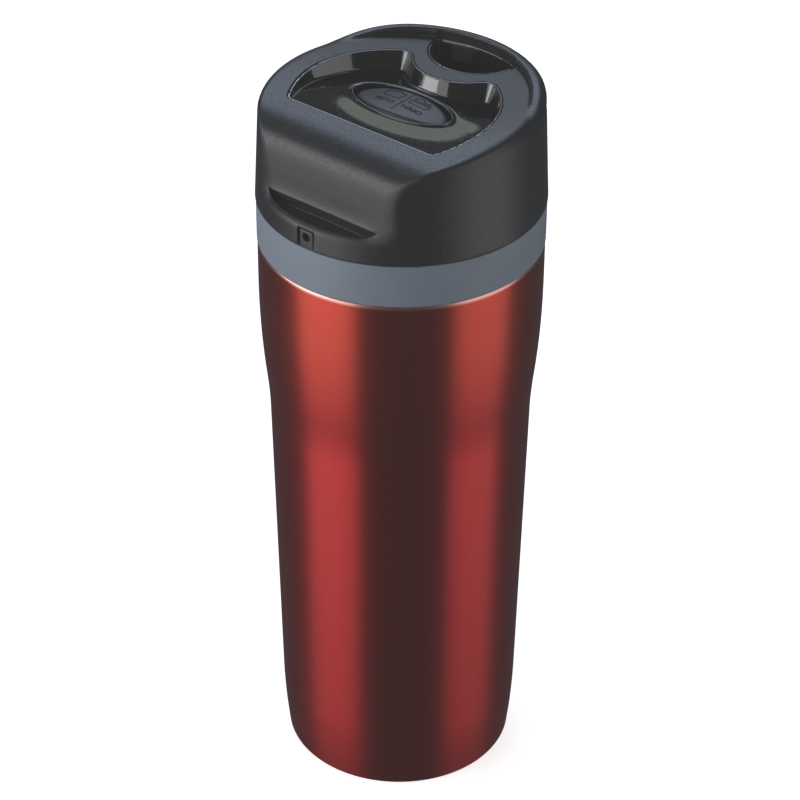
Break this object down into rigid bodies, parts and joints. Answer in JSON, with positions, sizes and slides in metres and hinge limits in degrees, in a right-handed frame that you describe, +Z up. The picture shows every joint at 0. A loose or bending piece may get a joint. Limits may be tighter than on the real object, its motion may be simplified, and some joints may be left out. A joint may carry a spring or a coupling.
{
  "type": "insulated travel mug",
  "caption": "Double-wall steel travel mug with a waisted red body, grey collar and a black screw lid with a raised drinking lip, thumb scoop and oval push-button valve.",
  "frame": {"origin": "centre of the base's underside", "axes": "+Z up along the mug's axis, +Y towards the drinking spout, -Y towards the thumb scoop"},
  "size_m": [0.0738, 0.0737, 0.2],
  "materials": {
    "red_lacquer": "translucent red lacquer over brushed steel",
    "steel": "brushed",
    "copper_foil": "satin copper foil",
    "getter_grey": "dull",
    "collar_grey": "satin",
    "matte_black": "fine grain matte",
    "gloss_black": "polished",
    "insert_black": "smooth",
    "silicone": "matte",
    "pom_white": "smooth",
    "button_black": "fine grain matte",
    "spring_steel": "drawn wire"
  },
  "bodies": {
    "mug": {"outer_shell": "red_lacquer", "inner_liner": "steel", "foil_wrap": "copper_foil", "getter": "getter_grey", "base_disc": "steel", "vacuum_seal": "getter_grey", "base_cap": "steel", "collar_band": "collar_grey"},
    "seal_ring": {"neck_seal": "silicone"},
    "lid": {"lid_cover": "matte_black", "top_panel": "gloss_black", "lid_insert": "insert_black", "deck_gasket": "silicone", "stem_seal": "silicone", "seal_retainer": "insert_black", "latch_sleeve": "pom_white", "catch_tab": "matte_black", "button_spring": "spring_steel"},
    "button": {"button_cap": "button_black", "button_stem": "pom_white", "valve_plug": "insert_black", "valve_gasket": "silicone"},
    "rotor": {"latch_rotor": "pom_white"}
  },
  "joints": [
    {"name": "lid_rise", "type": "slide", "parent": "mug", "child": "seal_ring", "axis": [0, 0, 1], "range_m": [0, 0.028]},
    {"name": "lid_turn", "type": "hinge", "parent": "seal_ring", "child": "lid", "pos_m": [0, 0, 0.17], "axis": [0, 0, 1], "range_deg": [0, 720]},
    {"name": "button_press", "type": "slide", "parent": "lid", "child": "button", "axis": [0, 0, -1], "range_m": [0, 0.0038], "stiffness_N_per_m": 900, "springref_m": -0.002, "deforming": ["button_spring"]},
    {"name": "rotor_turn", "type": "hinge", "parent": "button", "child": "rotor", "pos_m": [0, 0, 0.177], "axis": [0, 0, 1], "range_deg": [0, 45.01]}
  ],
  "couplings": [
    {"joint": "lid_rise", "follows": "lid_turn", "m_per_rad": 0.0022282},
    {"joint": "rotor_turn", "follows": "button_press", "rad_per_m": 206.68}
  ]
}
